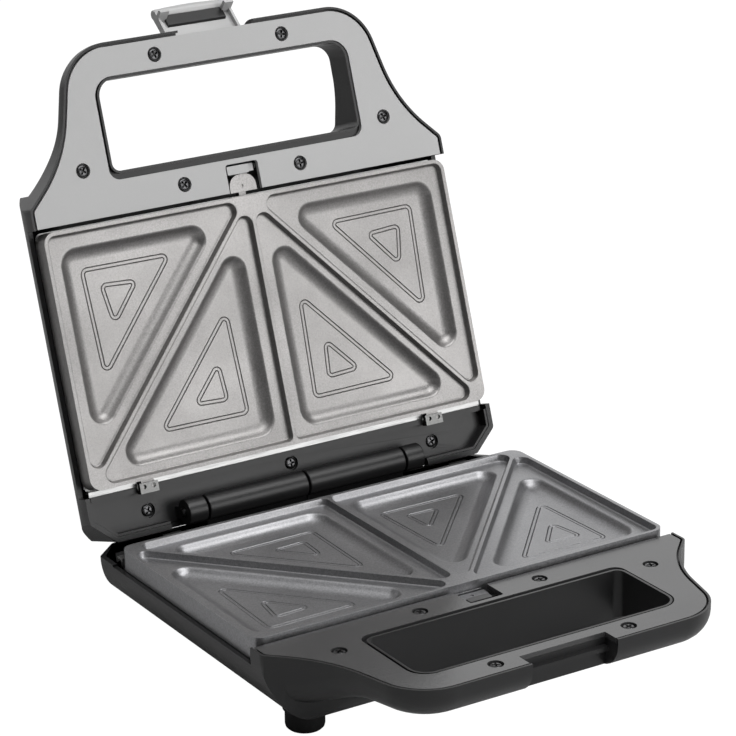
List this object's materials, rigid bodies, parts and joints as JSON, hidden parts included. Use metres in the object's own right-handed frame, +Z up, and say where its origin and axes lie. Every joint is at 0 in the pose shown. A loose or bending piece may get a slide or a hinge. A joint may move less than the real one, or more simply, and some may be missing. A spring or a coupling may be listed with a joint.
{
  "type": "sandwich toaster",
  "caption": "Hinged countertop sandwich toaster, shown open: wide shallow halves with cut-out handles, triangular pocket plates and a fold-back latch clip.",
  "frame": {"origin": "middle of the object's outline on the surface it stands on, lid open as at rest", "axes": "+Z up, +X to the right of a person facing the handles, -Y towards that person and the handles, +Y to the hinge and back"},
  "size_m": [0.234, 0.3366, 0.2743],
  "materials": {
    "black_plastic": "fine grained black with a soft sheen",
    "dark_panel": "smooth dark grey with a broad reflection",
    "light_panel": "light silver grey, smooth",
    "dark_coating": "dark non-stick coating",
    "light_coating": "warm grey non-stick coating with a fine speckle",
    "bright_sheet": "bright sheet",
    "steel": "bright steel",
    "dark_steel": "blackened steel",
    "element_sheath": "heat stained steel tube",
    "rubber": "black rubber",
    "button_plastic": "black, smooth",
    "latch_plastic": "light silver grey, smooth",
    "ceramic": "cream coloured insulating body",
    "red_lens": "clear red",
    "green_lens": "clear green"
  },
  "bodies": {
    "base": {"base_shell": "black_plastic", "base_handle_panel": "dark_panel", "base_panel_screws": "dark_steel", "base_rear_panel": "black_plastic", "base_rear_screws": "dark_steel", "lower_plate": "dark_coating", "lower_plate_clips": "steel", "lower_reflector_pan": "bright_sheet", "lower_pan_screws": "steel", "lower_heating_element": "element_sheath", "lower_element_clamps": "steel", "lower_release_spring": "steel", "hinge_pin": "steel", "feet": "rubber", "foot_screws": "steel", "cord_gland": "rubber", "terminal_block": "ceramic", "thermal_fuse": "ceramic"},
    "lid": {"lid_shell": "black_plastic", "lid_handle_panel": "light_panel", "lid_panel_screws": "dark_steel", "lid_rear_panel": "black_plastic", "lid_rear_screws": "dark_steel", "upper_plate": "light_coating", "upper_plate_clips": "steel", "upper_reflector_pan": "bright_sheet", "upper_pan_screws": "steel", "upper_heating_element": "element_sheath", "upper_element_clamps": "steel", "upper_release_spring": "steel", "thermostat": "ceramic", "lamp_holder": "ceramic", "power_lens": "red_lens", "ready_lens": "green_lens", "latch_pin": "steel"},
    "latch": {"latch_clip": "latch_plastic"},
    "lower_button": {"lower_release_button": "button_plastic"},
    "upper_button": {"upper_release_button": "button_plastic"}
  },
  "joints": [
    {"name": "lid_hinge", "type": "hinge", "parent": "base", "child": "lid", "pos_m": [0, 0.06269, 0.05], "axis": [1, 0, 0], "range_deg": [0, 108.6]},
    {"name": "latch_pivot", "type": "hinge", "parent": "lid", "child": "latch", "pos_m": [0, 0.14235, 0.26006], "axis": [1, 0, 0], "range_deg": [0, 125]},
    {"name": "lower_plate_release", "type": "slide", "parent": "base", "child": "lower_button", "axis": [1, 0, 0], "range_m": [0, 0.0045], "stiffness_N_per_m": 400, "springref_m": -0.002, "deforming": ["lower_release_spring"]},
    {"name": "upper_plate_release", "type": "slide", "parent": "lid", "child": "upper_button", "axis": [1, 0, 0], "range_m": [0, 0.0045], "stiffness_N_per_m": 400, "springref_m": -0.002, "deforming": ["upper_release_spring"]}
  ]
}
